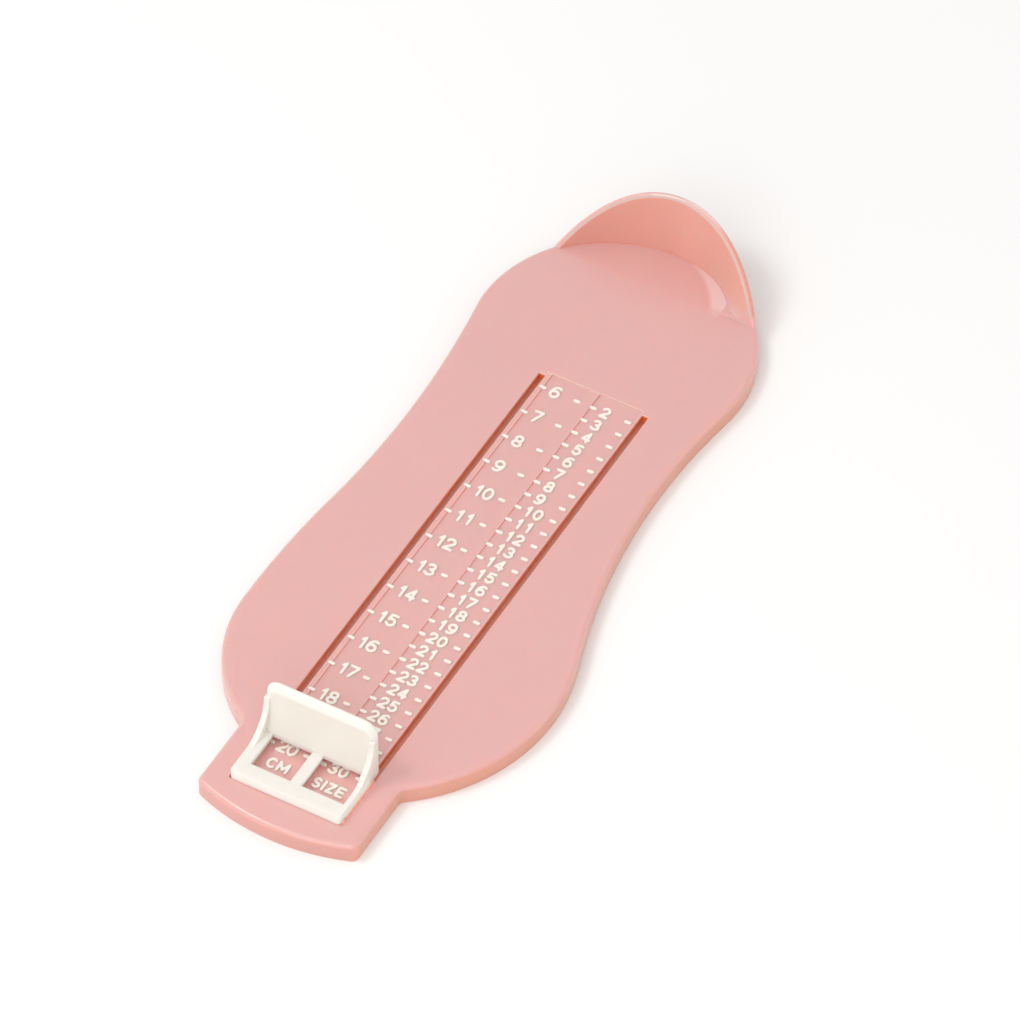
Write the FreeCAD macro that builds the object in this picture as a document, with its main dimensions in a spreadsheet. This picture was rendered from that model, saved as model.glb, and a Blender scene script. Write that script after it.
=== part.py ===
import FreeCAD, Part
import math
import os

import Sketcher
from FreeCAD import Placement, Rotation, Vector

# Foot measuring device: a sole-shaped board with a heel wall, a toe stop that slides along
# two slots, and the keeper that holds the toe stop from below.
#
# All sketches share one drawing frame: X from the centre line between the two slots, Y from
# the scale's zero (the wall's inner face, so a foot of length L ends at Y = -L) and Z up from
# the surface that the board stands on. Every finished piece is then moved by (shift_x, shift_y)
# so that the origin lies at the bottom centre of the whole device.

SIZES = {
    # board: plate, skirt and edge
    "board_height": 5.5,
    "plate_thick": 2.2,
    "skirt_thick": 1.8,
    "edge_round": 1.3,
    # heel end of the outline
    "heel_radius": 38.6,
    "heel_x": -4.9,
    "heel_y": -36.9,
    # left side of the outline: waist, flank and ball
    "left_waist_radius": 275.6,
    "left_waist_y": -84.9,
    "left_flank_radius": 263.0,
    "left_ball_radius": 42.0,
    "left_ball_x": -2.5,
    "left_ball_y": -160.7,
    # right side of the outline
    "right_waist_radius": 187.8,
    "right_waist_y": -75.2,
    "right_flank_radius": 75.0,
    "right_ball_radius": 52.6,
    "right_ball_x": -8.5,
    "right_ball_y": -155.9,
    # tab at the toe end
    "tab_half_width": 23.2,
    "tab_end_y": -224.5,
    "tab_end_radius": 62.0,
    "tab_corner": 2.0,
    "tab_root": 2.5,
    # heel cup: a block cut to height by a slanted plane, hollowed to a wall
    "wall_thick": 1.8,
    "wall_front_y": -14.2,
    "wall_height": 22.2,
    "lip_outer_round": 0.8,
    "flare_radius": 24.7,
    "flare_foot": 0.5,
    # heel seat: a disc that falls to the back, with a cove that rises to the wall at its right
    "seat_drop": 0.8,
    "seat_x": -14.0,
    "seat_y": -26.0,
    "seat_flat_radius": 29.1,
    "seat_cove_radius": 13.0,
    "seat_cove_width": 4.4,
    # guide slots
    "slot_x": 15.5,
    "slot_width": 1.8,
    "slot_heel_y": -56.0,
    "slot_toe_y": -215.4,
    "slot_chamfer": 0.25,
    # scale recesses
    "scale_depth": 0.4,
    "scale_heel_y": -54.8,
    "scale_toe_y": -214.0,
    "cm_left_x": -13.0,
    "cm_right_x": -1.5,
    "size_left_x": 1.3,
    "size_right_x": 13.9,
    # ribs under the board
    "rib_thick": 1.2,
    "rib_clear": 0.5,
    "rail_x": 20.8,
    "rail_heel_y": -46.0,
    "rail_toe_y": -219.0,
    "rib_first_y": -58.0,
    "rib_pitch": 29.0,
    # slider
    "slider_gap": 0.15,
    "slider_half_width": 16.0,
    "slider_heel_y": -195.7,
    "slider_toe_y": -215.8,
    "foot_thick": 3.0,
    "foot_shell": 1.2,
    "foot_skirt": 1.3,
    "foot_corner": 1.0,
    "stop_height": 18.6,
    "stop_thick_foot": 4.4,
    "stop_thick_top": 2.6,
    "stop_hollow_radius": 28.6,
    "stop_corner": 3.8,
    "stop_round_toe": 1.9,
    "stop_round_heel": 0.5,
    "gusset_thick": 1.5,
    "gusset_height": 13.5,
    "gusset_toe_y": -207.0,
    "gusset_hollow_radius": 10.4,
    "window_toe_y": -211.3,
    "window_heel_y": -200.0,
    "window_left_x": -12.6,
    "window_bar_left_x": -0.8,
    "window_bar_right_x": 2.2,
    "window_right_x": 14.7,
    # guide blades and barbs
    "blade_thick": 1.3,
    "blade_heel_y": -198.4,
    "blade_toe_y": -212.4,
    "blade_foot_z": 0.7,
    "barb_out": 0.5,
    # keeper
    "keeper_half_width": 19.4,
    "keeper_thick": 1.5,
    "keeper_gap": 0.2,
    "keeper_heel_y": -197.0,
    "keeper_toe_y": -213.8,
    "keeper_corner": 2.5,
    "keeper_fit": 0.05,
    # centre of the whole device in the drawing frame
    "shift_x": 0.2,
    "shift_y": 111.4,
}
RIB_ROWS = 5          # cross ribs on each side of the rails
BIG = 60.0            # reach of cutting tools past the device

doc = FreeCAD.newDocument("foot_gauge")
sheet = doc.addObject("Spreadsheet::Sheet", "sizes")
for row, (alias, value) in enumerate(SIZES.items(), start=1):
    sheet.set("A%d" % row, alias)
    sheet.set("B%d" % row, str(value))
    sheet.setAlias("B%d" % row, alias)
doc.recompute()


def size(alias):
    """The value of one driving dimension, read from the sheet."""
    return float(sheet.get(alias))


def plane(body, role):
    """One of the body's own origin planes."""
    return next(f for f in body.Origin.OriginFeatures if f.Role == role)


def new_sketch(body, name, role, height="0"):
    """A sketch on one of the body's origin planes, lifted off it by an expression."""
    sketch = body.newObject("Sketcher::SketchObject", name)
    sketch.AttachmentSupport = [(plane(body, role), "")]
    sketch.MapMode = "FlatFace"
    sketch.setExpression("AttachmentOffset.Base.z", height)
    return sketch


def bind(sketch, constraint, expression):
    """Add a dimension to a sketch and drive it from the sheet."""
    index = sketch.addConstraint(constraint)
    name = "d%d" % index
    sketch.renameConstraint(index, name)
    sketch.setExpression("Constraints." + name, expression)


def polygon(sketch, points, hollow=None, full=None):
    """A closed outline through points given as pairs of (value, expression) for u and v.

    hollow or full = (side, radius size) turns one side into an arc that curves into the
    outline or out of it; the points run counter-clockwise.
    """
    first = sketch.GeometryCount
    count = len(points)
    arc_side, arc_word = hollow or full or (None, None)
    for i in range(count):
        (u0, _), (v0, _) = points[i]
        (u1, _), (v1, _) = points[(i + 1) % count]
        start, end = Vector(u0, v0, 0), Vector(u1, v1, 0)
        if i == arc_side:
            chord = end - start
            radius = size(arc_word)
            rise = math.sqrt(radius ** 2 - (chord.Length / 2) ** 2)
            across = Vector(chord.y, -chord.x, 0) / chord.Length * (1 if hollow else -1)
            centre = (start + end) / 2 + across * rise
            ends = (end, start) if hollow else (start, end)
            sketch.addGeometry(arc(centre, radius, *ends), False)
        else:
            sketch.addGeometry(Part.LineSegment(start, end), False)
    for i in range(count):
        here, following = i, (i + 1) % count
        end_point = 1 if hollow and here == arc_side else 2
        start_point = 2 if hollow and following == arc_side else 1
        sketch.addConstraint(Sketcher.Constraint("Coincident", first + here, end_point,
                                                 first + following, start_point))
    for i, (u, v) in enumerate(points):
        point = 2 if hollow and i == arc_side else 1
        bind(sketch, Sketcher.Constraint("DistanceX", first + i, point, u[0]), u[1])
        bind(sketch, Sketcher.Constraint("DistanceY", first + i, point, v[0]), v[1])
    if arc_word:
        bind(sketch, Sketcher.Constraint("Radius", first + arc_side, size(arc_word)),
             "sizes." + arc_word)


def value_of(expression):
    """A named size or a number, as the pair that polygon() takes; a leading '-' negates it."""
    sign, word = (-1.0, expression[1:]) if expression.startswith("-") else (1.0, expression)
    if word in SIZES:
        return sign * size(word), expression.replace(word, "sizes." + word)
    return float(expression), expression


def rectangle(sketch, left, right, low, high):
    """A rectangle whose four sides are named sizes."""
    x0, x1, y0, y1 = (value_of(word) for word in (left, right, low, high))
    polygon(sketch, [(x0, y0), (x1, y0), (x1, y1), (x0, y1)])


def pad(body, sketch, length, reverse=False, midplane=False):
    """Pad a sketch by an expression."""
    feature = body.newObject("PartDesign::Pad", sketch.Name + "_pad")
    feature.Profile = sketch
    feature.setExpression("Length", length)
    feature.Reversed = reverse
    feature.Midplane = midplane
    sketch.Visibility = False
    return feature


def pocket(body, sketch, length, reverse=False, midplane=False):
    """Pocket a sketch by an expression, and make sure that it removed something."""
    doc.recompute()
    before = body.Shape.Volume
    feature = body.newObject("PartDesign::Pocket", sketch.Name + "_pocket")
    feature.Profile = sketch
    feature.setExpression("Length", length)
    feature.Reversed = reverse
    feature.Midplane = midplane
    sketch.Visibility = False
    doc.recompute()
    if body.Shape.Volume >= before - 1e-3:
        raise RuntimeError("%s removes nothing" % feature.Name)
    return feature


def edge_names(shape, wanted):
    """The names of the edges for which wanted(edge) is true."""
    return ["Edge%d" % (i + 1) for i, edge in enumerate(shape.Edges) if wanted(edge)]


def round_edges(body, name, radius, wanted, kind="PartDesign::Fillet"):
    """Fillet or chamfer the body's edges picked by wanted(edge)."""
    doc.recompute()
    base = body.Tip
    feature = body.newObject(kind, name)
    feature.Base = (base, edge_names(base.Shape, wanted))
    feature.setExpression("Radius" if kind.endswith("Fillet") else "Size", radius)
    doc.recompute()
    return feature


def near(value, target, tolerance=0.02):
    return abs(value - target) < tolerance


def flat_at(edge, height):
    """True where an edge lies in the level plane at this height."""
    box = edge.BoundBox
    return near(box.ZMin, height) and near(box.ZMax, height)


# ---------------------------------------------------------------- the board's outline

def side_arcs(side, inset):
    """Centres and radii of one side's arcs: waist (hollow), flank and ball (both full)."""
    word = "left_" if side < 0 else "right_"
    heel = Vector(size("heel_x"), size("heel_y"), 0)
    heel_r = size("heel_radius") - inset
    waist_r = size(word + "waist_radius") + inset
    flank_r = size(word + "flank_radius") - inset
    ball_r = size(word + "ball_radius") - inset
    ball = Vector(size(word + "ball_x"), size(word + "ball_y"), 0)
    waist_y = size(word + "waist_y")
    reach = math.sqrt((heel_r + waist_r) ** 2 - (waist_y - heel.y) ** 2)
    waist = Vector(heel.x + side * reach, waist_y, 0)
    # the flank touches the waist arc from outside and holds the ball arc inside itself
    span = ball - waist
    far, near_by = waist_r + flank_r, flank_r - ball_r
    along = (span.Length ** 2 + far ** 2 - near_by ** 2) / (2 * span.Length)
    across = math.sqrt(far ** 2 - along ** 2)
    unit = span / span.Length
    normal = Vector(-unit.y, unit.x, 0)
    options = [waist + unit * along + normal * across * s for s in (-1, 1)]
    flank = min(options, key=lambda p: side * p.x)
    return heel, heel_r, waist, waist_r, flank, flank_r, ball, ball_r


def arc(centre, radius, start, end):
    """An arc that runs counter-clockwise from the point start to the point end."""
    a0 = math.atan2(start.y - centre.y, start.x - centre.x)
    a1 = math.atan2(end.y - centre.y, end.x - centre.x)
    if a1 < a0:
        a1 += 2 * math.pi
    return Part.ArcOfCircle(Part.Circle(centre, Vector(0, 0, 1), radius), a0, a1)


def sole_outline(body, name, inset_word, height):
    """The sole's outline in tangent arcs, moved inwards by the size inset_word (or not)."""
    inset = size(inset_word) if inset_word else 0.0
    minus = " - sizes." + inset_word if inset_word else ""
    plus = " + sizes." + inset_word if inset_word else ""
    sketch = new_sketch(body, name, "XY_Plane", height)

    tab_x = size("tab_half_width") - inset
    end_r = size("tab_end_radius") - inset
    end_centre = Vector(0, size("tab_end_y") + size("tab_end_radius"), 0)
    corner_y = end_centre.y - math.sqrt(end_r ** 2 - tab_x ** 2)

    heel_ends, arcs, junctions = {}, {}, {}
    for side in (-1, 1):
        heel, heel_r, waist, waist_r, flank, flank_r, ball, ball_r = side_arcs(side, inset)
        to_heel = heel + (waist - heel) * (heel_r / (heel_r + waist_r))
        to_flank = waist + (flank - waist) * (waist_r / (waist_r + flank_r))
        to_ball = flank + (ball - flank) * (flank_r / (flank_r - ball_r))
        drop = math.sqrt(ball_r ** 2 - (side * tab_x - ball.x) ** 2)
        junction = Vector(side * tab_x, ball.y - drop, 0)
        heel_ends[side], junctions[side] = to_heel, junction
        if side < 0:
            arcs[side] = [arc(waist, waist_r, to_flank, to_heel),
                          arc(flank, flank_r, to_flank, to_ball),
                          arc(ball, ball_r, to_ball, junction)]
        else:
            arcs[side] = [arc(waist, waist_r, to_heel, to_flank),
                          arc(flank, flank_r, to_ball, to_flank),
                          arc(ball, ball_r, junction, to_ball)]

    corner = {s: Vector(s * tab_x, corner_y, 0) for s in (-1, 1)}
    geometry = [arc(heel, heel_r, heel_ends[1], heel_ends[-1])]
    geometry += arcs[-1] + [Part.LineSegment(junctions[-1], corner[-1])]
    geometry += [arc(end_centre, end_r, corner[-1], corner[1])]
    geometry += [Part.LineSegment(corner[1], junctions[1])] + arcs[1][::-1]
    sketch.addGeometry(geometry, False)
    heel_id, l_waist, l_flank, l_ball, l_tab, tab_end, r_tab, r_ball, r_flank, r_waist = range(10)

    # (first, its point, second, its point): the joints of the outline
    tangent = [(heel_id, 2, l_waist, 2), (l_waist, 1, l_flank, 1), (l_flank, 2, l_ball, 1),
               (r_ball, 2, r_flank, 1), (r_flank, 2, r_waist, 2), (r_waist, 1, heel_id, 1)]
    corners = [(l_ball, 2, l_tab, 1), (l_tab, 2, tab_end, 1), (tab_end, 2, r_tab, 1),
               (r_tab, 2, r_ball, 1)]
    for joint in tangent:
        sketch.addConstraint(Sketcher.Constraint("Tangent", *joint))
    for joint in corners:
        sketch.addConstraint(Sketcher.Constraint("Coincident", *joint))
    sketch.addConstraint(Sketcher.Constraint("Vertical", l_tab))
    sketch.addConstraint(Sketcher.Constraint("Vertical", r_tab))

    radii = [(heel_id, "heel", minus), (l_waist, "left_waist", plus),
             (l_flank, "left_flank", minus), (l_ball, "left_ball", minus),
             (r_waist, "right_waist", plus), (r_flank, "right_flank", minus),
             (r_ball, "right_ball", minus), (tab_end, "tab_end", minus)]
    for curve, word, change in radii:
        radius = sketch.Geometry[curve].Radius
        bind(sketch, Sketcher.Constraint("Radius", curve, radius),
             "sizes.%s_radius%s" % (word, change))
    for curve, word in ((heel_id, "heel"), (l_ball, "left_ball"), (r_ball, "right_ball")):
        centre = sketch.Geometry[curve].Center
        bind(sketch, Sketcher.Constraint("DistanceX", curve, 3, centre.x), "sizes.%s_x" % word)
        bind(sketch, Sketcher.Constraint("DistanceY", curve, 3, centre.y), "sizes.%s_y" % word)
    for curve, word in ((l_waist, "left_waist"), (r_waist, "right_waist")):
        centre = sketch.Geometry[curve].Center
        bind(sketch, Sketcher.Constraint("DistanceY", curve, 3, centre.y), "sizes.%s_y" % word)
    bind(sketch, Sketcher.Constraint("DistanceY", tab_end, 3, end_centre.y),
         "sizes.tab_end_y + sizes.tab_end_radius")
    bind(sketch, Sketcher.Constraint("DistanceX", l_tab, 1, -tab_x),
         "-(sizes.tab_half_width%s)" % minus)
    bind(sketch, Sketcher.Constraint("DistanceX", r_tab, 1, tab_x),
         "sizes.tab_half_width%s" % minus)
    return sketch


# ---------------------------------------------------------------- the board

def plate_and_skirt(body):
    """The sole-shaped plate with its skirt."""
    pad(body, sole_outline(body, "outline", "", "0"), "sizes.board_height")

    def upright_at(half_y):
        """Picks the tab's upright edges on one side of a level across the tab."""
        def wanted(edge):
            box = edge.BoundBox
            upright = near(box.XLength, 0) and near(box.YLength, 0)
            return upright and near(abs(box.XMin), size("tab_half_width")) and half_y(box.YMin)
        return wanted

    middle = size("tab_end_y") + size("tab_corner") * 4
    round_edges(body, "tab_corners", "sizes.tab_corner", upright_at(lambda y: y < middle))
    round_edges(body, "tab_roots", "sizes.tab_root", upright_at(lambda y: y > middle))
    hollow = sole_outline(body, "hollow", "skirt_thick", "0")
    pocket(body, hollow, "sizes.board_height - sizes.plate_thick", reverse=True)


def underside_ribs(body):
    """Two rails beside the slider's track, and cross ribs from them to the skirt."""
    roof = "sizes.board_height - sizes.plate_thick"
    depth = size("board_height") - size("plate_thick") - size("rib_clear")
    half = size("rib_thick") / 2
    rails = new_sketch(body, "rails", "XY_Plane", roof)
    for side in (-1, 1):
        centre = side * size("rail_x")
        word = "%d * sizes.rail_x" % side
        low, high = value_of("rail_toe_y"), value_of("rail_heel_y")
        left = (centre - half, word + " - sizes.rib_thick / 2")
        right = (centre + half, word + " + sizes.rib_thick / 2")
        polygon(rails, [(left, low), (right, low), (right, high), (left, high)])
    pad(body, rails, roof + " - sizes.rib_clear", reverse=True)

    cross = new_sketch(body, "cross_ribs", "XY_Plane", roof)
    for row in range(RIB_ROWS):
        y = size("rib_first_y") - row * size("rib_pitch")
        word = "sizes.rib_first_y - %d * sizes.rib_pitch" % row
        low = (y - half, word + " - sizes.rib_thick / 2")
        high = (y + half, word + " + sizes.rib_thick / 2")
        for side in (-1, 1):
            inner, inner_word = side * size("rail_x"), "%d * sizes.rail_x" % side
            # each cross rib ends inside the skirt, whose place follows the outline
            outer = side_x(y, side) - side * size("skirt_thick") / 2
            points = sorted([(inner, inner_word), (outer, "%.3f" % outer)])
            polygon(cross, [(points[0], low), (points[1], low), (points[1], high),
                            (points[0], high)])
    feature = pad(body, cross, roof + " - sizes.rib_clear", reverse=True)
    doc.recompute()
    if depth <= 0 or not feature.Shape.isValid():
        raise RuntimeError("the ribs under the board failed")


def side_x(y, side):
    """Where the outline's side lies at this Y."""
    heel, heel_r, waist, waist_r, flank, flank_r, ball, ball_r = side_arcs(side, 0.0)
    to_heel = heel + (waist - heel) * (heel_r / (heel_r + waist_r))
    to_flank = waist + (flank - waist) * (waist_r / (waist_r + flank_r))
    to_ball = flank + (ball - flank) * (flank_r / (flank_r - ball_r))
    if y > to_heel.y:
        return heel.x + side * math.sqrt(heel_r ** 2 - (y - heel.y) ** 2)
    if y > to_flank.y:
        return waist.x - side * math.sqrt(waist_r ** 2 - (y - waist.y) ** 2)
    if y > to_ball.y:
        return flank.x + side * math.sqrt(flank_r ** 2 - (y - flank.y) ** 2)
    return ball.x + side * math.sqrt(ball_r ** 2 - (y - ball.y) ** 2)


def heel_block(body):
    """A solid block on the heel's circle, under a plane that rises to the back."""
    front = size("wall_front_y")
    radius = size("heel_radius")
    centre = Vector(size("heel_x"), size("heel_y"), 0)
    half = math.sqrt(radius ** 2 - (front - centre.y) ** 2)
    left, right = (Vector(centre.x + s * half, front, 0) for s in (-1, 1))
    block = new_sketch(body, "block", "XY_Plane", "sizes.board_height - sizes.plate_thick")
    block.addGeometry([arc(centre, radius, right, left), Part.LineSegment(left, right)], False)
    block.addConstraint(Sketcher.Constraint("Coincident", 0, 2, 1, 1))
    block.addConstraint(Sketcher.Constraint("Coincident", 1, 2, 0, 1))
    block.addConstraint(Sketcher.Constraint("Horizontal", 1))
    bind(block, Sketcher.Constraint("Radius", 0, radius), "sizes.heel_radius")
    bind(block, Sketcher.Constraint("DistanceX", 0, 3, centre.x), "sizes.heel_x")
    bind(block, Sketcher.Constraint("DistanceY", 0, 3, centre.y), "sizes.heel_y")
    bind(block, Sketcher.Constraint("DistanceY", 1, 1, front), "sizes.wall_front_y")
    pad(body, block, "sizes.plate_thick + sizes.wall_height")

    # the slanted plane, drawn from the side: sketch X is the device's Y, sketch Y is its Z
    top = (size("board_height"), "sizes.board_height")
    high = (top[0] + size("wall_height"), "sizes.board_height + sizes.wall_height")
    front_at = value_of("wall_front_y")
    back_at = (centre.y + radius, "sizes.heel_y + sizes.heel_radius")
    above = (high[0] + BIG, high[1] + " + %g" % BIG)
    slant = new_sketch(body, "slant", "YZ_Plane")
    polygon(slant, [(front_at, top), (back_at, high), (back_at, above), (front_at, above)])
    pocket(body, slant, "2 * sizes.heel_radius + %g" % BIG, midplane=True)


def scale_and_slots(body):
    """The two shallow scale recesses and the two guide slots with bevelled mouths."""
    recess = new_sketch(body, "scale_recess", "XY_Plane", "sizes.board_height")
    rectangle(recess, "cm_left_x", "cm_right_x", "scale_toe_y", "scale_heel_y")
    rectangle(recess, "size_left_x", "size_right_x", "scale_toe_y", "scale_heel_y")
    pocket(body, recess, "sizes.scale_depth")

    slots = new_sketch(body, "slots", "XY_Plane", "sizes.board_height")
    half = size("slot_width") / 2
    for side in (-1, 1):
        x, word = side * size("slot_x"), "%d * sizes.slot_x" % side
        low, high = value_of("slot_toe_y"), value_of("slot_heel_y")
        left = (x - half, word + " - sizes.slot_width / 2")
        right = (x + half, word + " + sizes.slot_width / 2")
        polygon(slots, [(left, low), (right, low), (right, high), (left, high)])
    pocket(body, slots, "sizes.board_height")
    top = size("board_height")

    def on_mouth(edge):
        """The slots' upper edges: level, and wholly beside a slot's centre line."""
        box = edge.BoundBox
        off = abs(abs((box.XMin + box.XMax) / 2) - size("slot_x"))
        return flat_at(edge, top) and off < half + 0.01 and box.XLength < 2 * half + 0.01

    round_edges(body, "slot_mouths", "sizes.slot_chamfer", on_mouth, "PartDesign::Chamfer")


def flared_half():
    """The right half of the cup's hollow; its side leans out from its foot to the lip.

    The side is ruled between the foot's arc and the inner edge of the slanted lip, and meets
    the straight left half along an upright line at the back of the cup. Under the foot's arc
    the side is upright, down to below the seat.
    """
    top, floor = size("board_height"), size("board_height") - size("seat_drop") - 0.4
    front, back = size("wall_front_y"), size("heel_y") + size("heel_radius")
    slope = size("wall_height") / (back - front)
    x, heel_y = size("heel_x"), size("heel_y")
    lip_r = size("heel_radius") - size("wall_thick")
    foot_r = size("flare_radius")
    apex_y = heel_y + lip_r
    low = top + size("flare_foot")
    start = front + size("flare_foot") / slope

    def on_slant(u, v):
        return Vector(u, v, top + (v - front) * slope)

    def lip_x(v):
        return x + math.sqrt(lip_r ** 2 - (v - heel_y) ** 2)

    foot_y = apex_y - foot_r
    foot_end = Vector(x + math.sqrt(foot_r ** 2 - (start - foot_y) ** 2), start, low)
    apex_low, apex_high = Vector(x, apex_y, low), on_slant(x, apex_y)
    corner, lip_end = Vector(x, start, low), on_slant(lip_x(start), start)
    foot_arc = arc(Vector(x, foot_y, low), foot_r, foot_end, apex_low).toShape()

    # the lip's inner edge is an ellipse: the circle lip_r seen on the slanted plane
    centre = on_slant(x, heel_y)
    ellipse = Part.Ellipse(on_slant(x, heel_y + lip_r), on_slant(x + lip_r, heel_y), centre)
    ends = sorted(ellipse.parameter(p) for p in (apex_high, lip_end))
    if ends[1] - ends[0] > math.pi:
        ends = [ends[1], ends[0] + 2 * math.pi]
    lip_arc = ellipse.toShape(*ends)

    def line(p, q):
        return Part.makeLine(p, q)

    side = Part.makeRuledSurface(foot_arc, lip_arc)
    faces = [
        side,
        Part.Face(Part.Wire(Part.__sortEdges__([line(corner, foot_end), foot_arc,
                                                line(apex_low, corner)]))),
        Part.Face(Part.Wire(Part.__sortEdges__([line(corner, foot_end), line(foot_end, lip_end),
                                                lip_arc, line(apex_high, corner)]))),
        Part.Face(Part.makePolygon([corner, apex_low, apex_high, corner])),
    ]
    shell = Part.Shell(faces)
    shell.sewShape()
    solid = Part.Solid(shell)
    if solid.Volume < 0:
        solid.reverse()
    if not solid.isValid():
        raise RuntimeError("the flared side of the heel cup is not a valid solid")
    flared = doc.addObject("Part::Feature", "cup_flared")
    flared.Shape = solid
    under = doc.addObject("Part::Cylinder", "cup_foot")
    under.Angle = 90
    under.setExpression("Radius", "sizes.flare_radius")
    under.Height = low - floor
    under.Placement.Base = Vector(x, foot_y, floor)
    return flared, under


def heel_hollow():
    """What is taken out of the heel block: the cup above the seat."""
    left = doc.addObject("Part::Cylinder", "cup_left")
    left.Angle = 180
    left.setExpression("Radius", "sizes.heel_radius - sizes.wall_thick")
    left.Height = BIG
    left.Placement.Rotation = Rotation(Vector(0, 0, 1), 90)
    left.setExpression("Placement.Base.x", "sizes.heel_x")
    left.setExpression("Placement.Base.y", "sizes.heel_y")
    left.setExpression("Placement.Base.z", "sizes.board_height - sizes.seat_drop - 0.4")
    cup = doc.addObject("Part::MultiFuse", "cup")
    cup.Shapes = [left, *flared_half()]

    # everything above the seat: a disc about an axis to the left of the middle, which a cove
    # surrounds, all tilted so that it leaves the board's top along the wall's front
    dish = doc.addObject("PartDesign::Body", "seat_dish")
    profile = new_sketch(dish, "dish_profile", "XZ_Plane")
    flat, width = size("seat_flat_radius"), size("seat_cove_width")
    cove = size("seat_cove_radius")
    rise = cove - math.sqrt(cove ** 2 - width ** 2)
    rim = (flat + width, "sizes.seat_flat_radius + sizes.seat_cove_width")
    rim_z = (rise, "sizes.seat_cove_radius - sqrt(sizes.seat_cove_radius ^ 2"
                   " - sizes.seat_cove_width ^ 2)")
    zero, far = (0.0, "0"), (BIG, "%g" % BIG)
    polygon(profile, [(zero, zero), (value_of("seat_flat_radius"), zero), (rim, rim_z),
                      (far, rim_z), (far, far), (zero, far)], full=(1, "seat_cove_radius"))
    turned = dish.newObject("PartDesign::Revolution", "dish_turned")
    turned.Profile = profile
    turned.ReferenceAxis = (profile, ["V_Axis"])
    turned.Angle = 360
    profile.Visibility = False
    run = size("heel_y") + size("heel_radius") - size("wall_thick") - size("wall_front_y")
    fall = size("seat_drop") / run
    lift = (size("wall_front_y") - size("seat_y")) * fall
    dish.Placement = Placement(Vector(size("seat_x"), size("seat_y"),
                                      size("board_height") + lift),
                               Rotation(Vector(1, 0, 0), -math.degrees(math.atan(fall))))

    hollow = doc.addObject("Part::Common", "heel_hollow")
    hollow.Base, hollow.Tool = cup, dish
    return hollow


def make_board():
    body = doc.addObject("PartDesign::Body", "board_moulding")
    plate_and_skirt(body)
    underside_ribs(body)
    heel_block(body)
    scale_and_slots(body)
    hollowed = doc.addObject("Part::Cut", "hollowed")
    hollowed.Base, hollowed.Tool = body, heel_hollow()
    hollowed.Refine = True
    doc.recompute()

    # the outline and the lip are rolled over together, as they meet at the wall's ends
    top, front = size("board_height"), size("wall_front_y")
    heel = Vector(size("heel_x"), size("heel_y"), 0)
    slope = size("wall_height") / (heel.y + size("heel_radius") - front)
    track = size("slot_x") + size("slot_width")

    def rounding(edge):
        """The radii at this edge's two ends, or None where the edge stays as it is."""
        middle = edge.valueAt((edge.FirstParameter + edge.LastParameter) / 2)
        out = math.hypot(middle.x - heel.x, middle.y - heel.y)
        if flat_at(edge, top) and not near(middle.y, front, 0.1):
            if abs(middle.x) < track and middle.y > size("slot_toe_y") - 1:
                return None
            return [size("lip_outer_round" if near(edge.valueAt(end).y, front, 0.1)
                         else "edge_round") for end in (edge.FirstParameter, edge.LastParameter)]
        on_lip = near(middle.z, top + slope * (middle.y - front)) and middle.y > front + 0.1
        return [size("lip_outer_round")] * 2 if on_lip and near(out, size("heel_radius")) else None

    board = doc.addObject("Part::Fillet", "board")
    board.Base = hollowed
    radii = [(i + 1, rounding(edge)) for i, edge in enumerate(hollowed.Shape.Edges)]
    board.Edges = [(i, *ends) for i, ends in radii if ends]
    return board


# ---------------------------------------------------------------- the slider

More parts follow.
